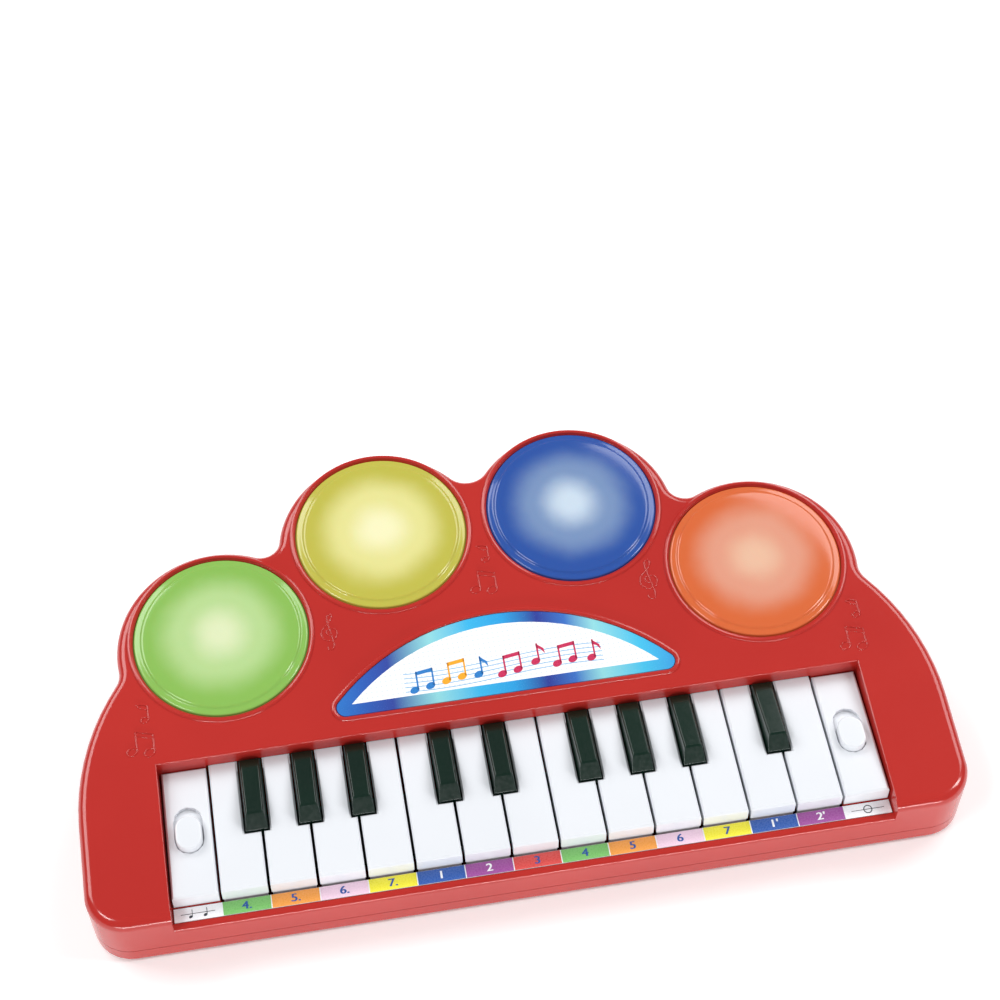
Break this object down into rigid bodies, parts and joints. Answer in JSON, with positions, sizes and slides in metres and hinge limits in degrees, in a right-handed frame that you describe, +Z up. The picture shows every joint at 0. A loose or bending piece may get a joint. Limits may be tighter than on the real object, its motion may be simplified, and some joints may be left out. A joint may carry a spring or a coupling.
{
  "type": "toy electronic keyboard",
  "caption": "Toy keyboard with hinged white and black keys, round light pads that press in, two slide switches, a note strip and a battery door below.",
  "frame": {"origin": "middle of the footprint's bounding box, on the surface the rubber feet stand on", "axes": "+X to the player's right along the keys, +Y away from the player towards the pads, +Z up"},
  "size_m": [0.369, 0.2044, 0.0521],
  "materials": {
    "red_case": "high-gloss moulded ABS",
    "white_keys": "polished white ABS",
    "black_keys": "satin black-green ABS",
    "pad_green": "translucent green plastic, lit from below",
    "pad_yellow": "translucent yellow plastic, lit from below",
    "pad_blue": "translucent blue plastic, lit from below",
    "pad_orange": "translucent orange plastic, lit from below",
    "foot_rubber": "matt black rubber",
    "contact_rubber": "grey silicone rubber",
    "steel": "plated steel",
    "circuit_board": "green solder mask",
    "printed_film": "printed, laminated film",
    "felt": "green felt",
    "battery_jacket": "plain plastic jacket",
    "cone_paper": "black pressed paper"
  },
  "bodies": {
    "case": {"bottom_shell": "red_case", "top_shell": "red_case", "foot_front_left": "foot_rubber", "foot_front_right": "foot_rubber", "foot_rear_left": "foot_rubber", "foot_rear_right": "foot_rubber", "case_screw_front_left": "steel", "case_screw_front_right": "steel", "case_screw_rear_left": "steel", "case_screw_rear_right": "steel", "key_pivot_rod": "steel", "key_stop_felt": "felt", "key_board": "circuit_board", "contact_rubber": "contact_rubber", "pad_light_green": "circuit_board", "pad_light_yellow": "circuit_board", "pad_light_blue": "circuit_board", "pad_light_orange": "circuit_board", "badge_plate": "printed_film", "note_strip": "printed_film", "switch_panel_left": "white_keys", "switch_panel_right": "white_keys", "battery_1": "battery_jacket", "battery_2": "battery_jacket", "battery_3": "battery_jacket", "battery_contact_left": "steel", "battery_contact_right": "steel", "speaker_frame": "steel", "speaker_cone": "cone_paper", "main_board": "circuit_board"},
    "white_key_01": {"white_key_01": "white_keys"},
    "white_key_02": {"white_key_02": "white_keys"},
    "white_key_03": {"white_key_03": "white_keys"},
    "white_key_04": {"white_key_04": "white_keys"},
    "white_key_05": {"white_key_05": "white_keys"},
    "white_key_06": {"white_key_06": "white_keys"},
    "white_key_07": {"white_key_07": "white_keys"},
    "white_key_08": {"white_key_08": "white_keys"},
    "white_key_09": {"white_key_09": "white_keys"},
    "white_key_10": {"white_key_10": "white_keys"},
    "white_key_11": {"white_key_11": "white_keys"},
    "white_key_12": {"white_key_12": "white_keys"},
    "white_key_13": {"white_key_13": "white_keys"},
    "black_key_01": {"black_key_01": "black_keys"},
    "black_key_02": {"black_key_02": "black_keys"},
    "black_key_03": {"black_key_03": "black_keys"},
    "black_key_04": {"black_key_04": "black_keys"},
    "black_key_05": {"black_key_05": "black_keys"},
    "black_key_06": {"black_key_06": "black_keys"},
    "black_key_07": {"black_key_07": "black_keys"},
    "black_key_08": {"black_key_08": "black_keys"},
    "black_key_09": {"black_key_09": "black_keys"},
    "pad_green": {"pad_green": "pad_green"},
    "pad_yellow": {"pad_yellow": "pad_yellow"},
    "pad_blue": {"pad_blue": "pad_blue"},
    "pad_orange": {"pad_orange": "pad_orange"},
    "mode_slider": {"mode_slider": "white_keys"},
    "power_slider": {"power_slider": "white_keys"},
    "battery_door": {"battery_door": "red_case", "battery_door_screw": "steel"}
  },
  "joints": [
    {"name": "white_key_01_hinge", "type": "hinge", "parent": "case", "child": "white_key_01", "pos_m": [-0.12, -0.021, 0.027], "axis": [1, 0, 0], "range_deg": [0, 2.8], "stiffness_Nm_per_rad": 0.5, "springref_deg": -1.72},
    {"name": "white_key_02_hinge", "type": "hinge", "parent": "case", "child": "white_key_02", "pos_m": [-0.1, -0.021, 0.027], "axis": [1, 0, 0], "range_deg": [0, 2.8], "stiffness_Nm_per_rad": 0.5, "springref_deg": -1.72},
    {"name": "white_key_03_hinge", "type": "hinge", "parent": "case", "child": "white_key_03", "pos_m": [-0.08, -0.021, 0.027], "axis": [1, 0, 0], "range_deg": [0, 2.8], "stiffness_Nm_per_rad": 0.5, "springref_deg": -1.72},
    {"name": "white_key_04_hinge", "type": "hinge", "parent": "case", "child": "white_key_04", "pos_m": [-0.06, -0.021, 0.027], "axis": [1, 0, 0], "range_deg": [0, 2.8], "stiffness_Nm_per_rad": 0.5, "springref_deg": -1.72},
    {"name": "white_key_05_hinge", "type": "hinge", "parent": "case", "child": "white_key_05", "pos_m": [-0.04, -0.021, 0.027], "axis": [1, 0, 0], "range_deg": [0, 2.8], "stiffness_Nm_per_rad": 0.5, "springref_deg": -1.72},
    {"name": "white_key_06_hinge", "type": "hinge", "parent": "case", "child": "white_key_06", "pos_m": [-0.02, -0.021, 0.027], "axis": [1, 0, 0], "range_deg": [0, 2.8], "stiffness_Nm_per_rad": 0.5, "springref_deg": -1.72},
    {"name": "white_key_07_hinge", "type": "hinge", "parent": "case", "child": "white_key_07", "pos_m": [0, -0.021, 0.027], "axis": [1, 0, 0], "range_deg": [0, 2.8], "stiffness_Nm_per_rad": 0.5, "springref_deg": -1.72},
    {"name": "white_key_08_hinge", "type": "hinge", "parent": "case", "child": "white_key_08", "pos_m": [0.02, -0.021, 0.027], "axis": [1, 0, 0], "range_deg": [0, 2.8], "stiffness_Nm_per_rad": 0.5, "springref_deg": -1.72},
    {"name": "white_key_09_hinge", "type": "hinge", "parent": "case", "child": "white_key_09", "pos_m": [0.04, -0.021, 0.027], "axis": [1, 0, 0], "range_deg": [0, 2.8], "stiffness_Nm_per_rad": 0.5, "springref_deg": -1.72},
    {"name": "white_key_10_hinge", "type": "hinge", "parent": "case", "child": "white_key_10", "pos_m": [0.06, -0.021, 0.027], "axis": [1, 0, 0], "range_deg": [0, 2.8], "stiffness_Nm_per_rad": 0.5, "springref_deg": -1.72},
    {"name": "white_key_11_hinge", "type": "hinge", "parent": "case", "child": "white_key_11", "pos_m": [0.08, -0.021, 0.027], "axis": [1, 0, 0], "range_deg": [0, 2.8], "stiffness_Nm_per_rad": 0.5, "springref_deg": -1.72},
    {"name": "white_key_12_hinge", "type": "hinge", "parent": "case", "child": "white_key_12", "pos_m": [0.1, -0.021, 0.027], "axis": [1, 0, 0], "range_deg": [0, 2.8], "stiffness_Nm_per_rad": 0.5, "springref_deg": -1.72},
    {"name": "white_key_13_hinge", "type": "hinge", "parent": "case", "child": "white_key_13", "pos_m": [0.12, -0.021, 0.027], "axis": [1, 0, 0], "range_deg": [0, 2.8], "stiffness_Nm_per_rad": 0.5, "springref_deg": -1.72},
    {"name": "black_key_01_hinge", "type": "hinge", "parent": "case", "child": "black_key_01", "pos_m": [-0.1122, -0.021, 0.027], "axis": [1, 0, 0], "range_deg": [0, 2.8], "stiffness_Nm_per_rad": 0.5, "springref_deg": -1.72},
    {"name": "black_key_02_hinge", "type": "hinge", "parent": "case", "child": "black_key_02", "pos_m": [-0.09, -0.021, 0.027], "axis": [1, 0, 0], "range_deg": [0, 2.8], "stiffness_Nm_per_rad": 0.5, "springref_deg": -1.72},
    {"name": "black_key_03_hinge", "type": "hinge", "parent": "case", "child": "black_key_03", "pos_m": [-0.0678, -0.021, 0.027], "axis": [1, 0, 0], "range_deg": [0, 2.8], "stiffness_Nm_per_rad": 0.5, "springref_deg": -1.72},
    {"name": "black_key_04_hinge", "type": "hinge", "parent": "case", "child": "black_key_04", "pos_m": [-0.0316, -0.021, 0.027], "axis": [1, 0, 0], "range_deg": [0, 2.8], "stiffness_Nm_per_rad": 0.5, "springref_deg": -1.72},
    {"name": "black_key_05_hinge", "type": "hinge", "parent": "case", "child": "black_key_05", "pos_m": [-0.0084, -0.021, 0.027], "axis": [1, 0, 0], "range_deg": [0, 2.8], "stiffness_Nm_per_rad": 0.5, "springref_deg": -1.72},
    {"name": "black_key_06_hinge", "type": "hinge", "parent": "case", "child": "black_key_06", "pos_m": [0.0278, -0.021, 0.027], "axis": [1, 0, 0], "range_deg": [0, 2.8], "stiffness_Nm_per_rad": 0.5, "springref_deg": -1.72},
    {"name": "black_key_07_hinge", "type": "hinge", "parent": "case", "child": "black_key_07", "pos_m": [0.05, -0.021, 0.027], "axis": [1, 0, 0], "range_deg": [0, 2.8], "stiffness_Nm_per_rad": 0.5, "springref_deg": -1.72},
    {"name": "black_key_08_hinge", "type": "hinge", "parent": "case", "child": "black_key_08", "pos_m": [0.0722, -0.021, 0.027], "axis": [1, 0, 0], "range_deg": [0, 2.8], "stiffness_Nm_per_rad": 0.5, "springref_deg": -1.72},
    {"name": "black_key_09_hinge", "type": "hinge", "parent": "case", "child": "black_key_09", "pos_m": [0.1084, -0.021, 0.027], "axis": [1, 0, 0], "range_deg": [0, 2.8], "stiffness_Nm_per_rad": 0.5, "springref_deg": -1.72},
    {"name": "pad_green_press", "type": "slide", "parent": "case", "child": "pad_green", "axis": [0, 0.0896, -0.996], "range_m": [0, 0.002], "stiffness_N_per_m": 300, "springref_m": -0.0015},
    {"name": "pad_yellow_press", "type": "slide", "parent": "case", "child": "pad_yellow", "axis": [0, 0.0896, -0.996], "range_m": [0, 0.002], "stiffness_N_per_m": 300, "springref_m": -0.0015},
    {"name": "pad_blue_press", "type": "slide", "parent": "case", "child": "pad_blue", "axis": [0, 0.0896, -0.996], "range_m": [0, 0.002], "stiffness_N_per_m": 300, "springref_m": -0.0015},
    {"name": "pad_orange_press", "type": "slide", "parent": "case", "child": "pad_orange", "axis": [0, 0.0896, -0.996], "range_m": [0, 0.002], "stiffness_N_per_m": 300, "springref_m": -0.0015},
    {"name": "mode_slide", "type": "slide", "parent": "case", "child": "mode_slider", "axis": [0, 1, 0], "range_m": [0, 0.0052]},
    {"name": "power_slide", "type": "slide", "parent": "case", "child": "power_slider", "axis": [0, 1, 0], "range_m": [0, 0.0052]},
    {"name": "battery_door_hinge", "type": "hinge", "parent": "case", "child": "battery_door", "pos_m": [-0.06, 0.0391, 0.0016], "axis": [1, 0, 0], "range_deg": [0, 70]}
  ]
}
